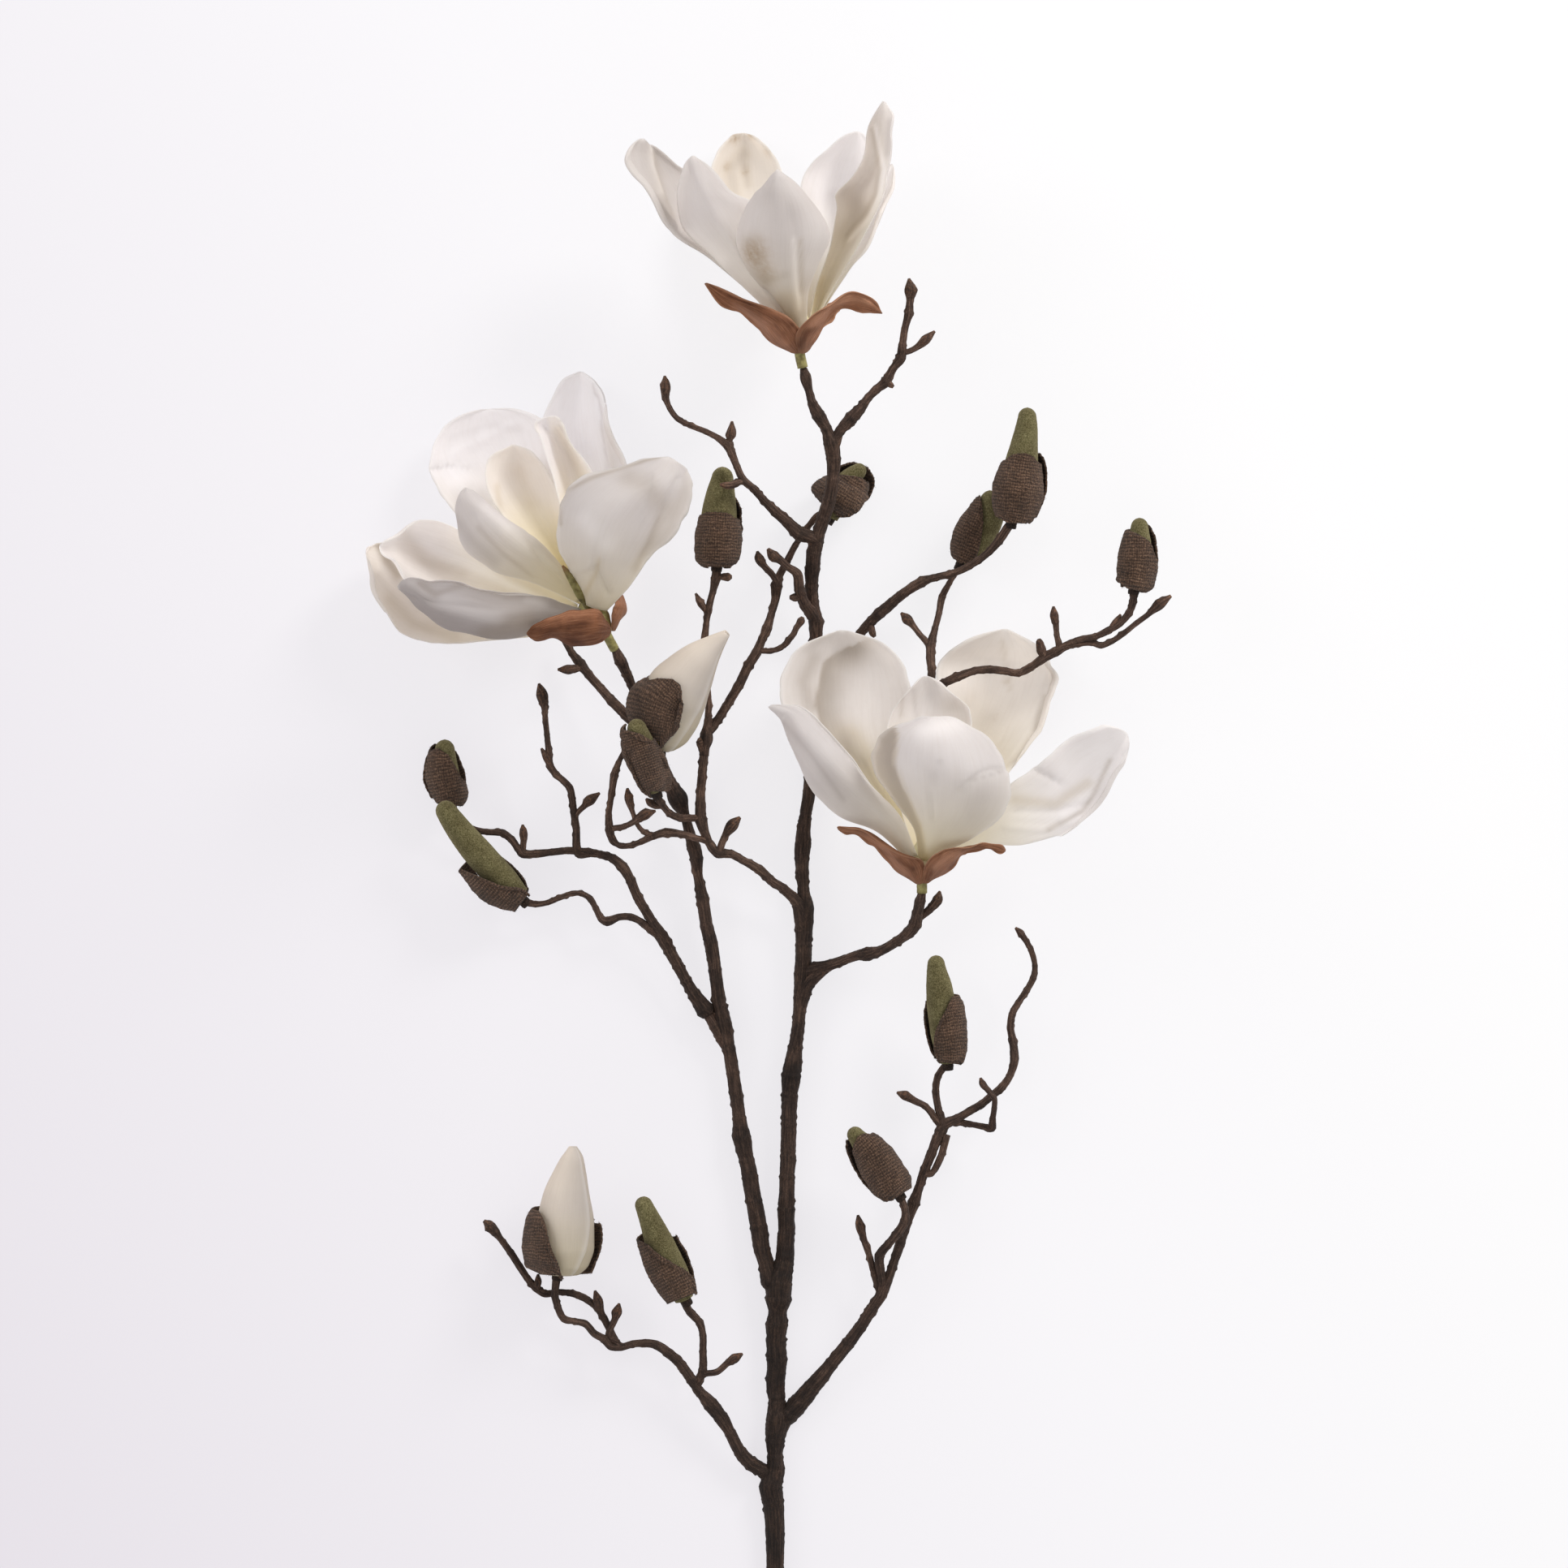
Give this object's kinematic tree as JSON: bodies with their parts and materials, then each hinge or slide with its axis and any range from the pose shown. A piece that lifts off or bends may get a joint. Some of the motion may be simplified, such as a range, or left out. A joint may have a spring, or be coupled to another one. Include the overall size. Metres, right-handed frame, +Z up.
{
  "type": "saucer magnolia branch",
  "caption": "Cut magnolia branch laid on its side, with a forked woody stem, side sprigs, open white flowers, white buds and felted green buds.",
  "frame": {"origin": "on the surface that the branch lies on, under the middle of its bounding box", "axes": "+Y along the branch from the cut end to the top flower, +X to the picture's right, +Z up from the surface"},
  "size_m": [0.3324, 0.6636, 0.106],
  "materials": {
    "bark": "dark grey-brown bark with rings, knots and lengthwise ridges, satin to matt",
    "stalk": "smooth olive-green stalk, satin",
    "petal": "warm white petal, thin and translucent, fine lengthwise veins, soft sheen",
    "sepal": "terracotta brown sepal, thin, faint veins, satin",
    "felt": "brown felted bud scales, coarse short fibres, fully matt",
    "green_felt": "olive green felted bud, short pile, fully matt"
  },
  "bodies": {
    "root": {"main_stem": "bark", "left_leader": "bark", "short_twig": "bark", "lower_left_sprig": "bark", "lower_right_sprig": "bark", "mid_left_sprig": "bark", "middle_sprig": "bark", "hooked_twig": "bark", "upper_left_sprig": "bark", "right_flower_sprig": "bark", "right_sprig": "bark", "outer_right_sprig": "bark", "top_right_twig": "bark", "flower_1_stalk": "stalk", "flower_2_stalk": "stalk", "flower_3_stalk": "stalk", "bud_1": "felt", "bud_2": "felt", "bud_3": "felt", "bud_4": "felt", "bud_5": "felt", "bud_6": "felt", "bud_7": "felt", "bud_8": "felt", "bud_9": "felt", "bud_10": "felt", "bud_11": "felt", "white_bud_1": "petal", "white_bud_2": "petal", "flower_1_petal_1": "petal", "flower_1_petal_2": "petal", "flower_1_petal_3": "petal", "flower_1_petal_4": "petal", "flower_1_petal_5": "petal", "flower_1_petal_6": "petal", "flower_1_petal_7": "petal", "flower_2_petal_1": "petal", "flower_2_petal_2": "petal", "flower_2_petal_3": "petal", "flower_2_petal_4": "petal", "flower_2_petal_5": "petal", "flower_2_petal_6": "petal", "flower_2_petal_7": "petal", "flower_2_petal_8": "petal", "flower_2_petal_9": "petal", "flower_3_petal_1": "petal", "flower_3_petal_2": "petal", "flower_3_petal_3": "petal", "flower_3_petal_4": "petal", "flower_3_petal_5": "petal", "flower_3_petal_6": "petal", "flower_1_sepal_1": "sepal", "flower_1_sepal_2": "sepal", "flower_1_sepal_3": "sepal", "flower_2_sepal_1": "sepal", "flower_2_sepal_2": "sepal", "flower_3_sepal_1": "sepal", "flower_3_sepal_2": "sepal"}
  },
  "joints": []
}
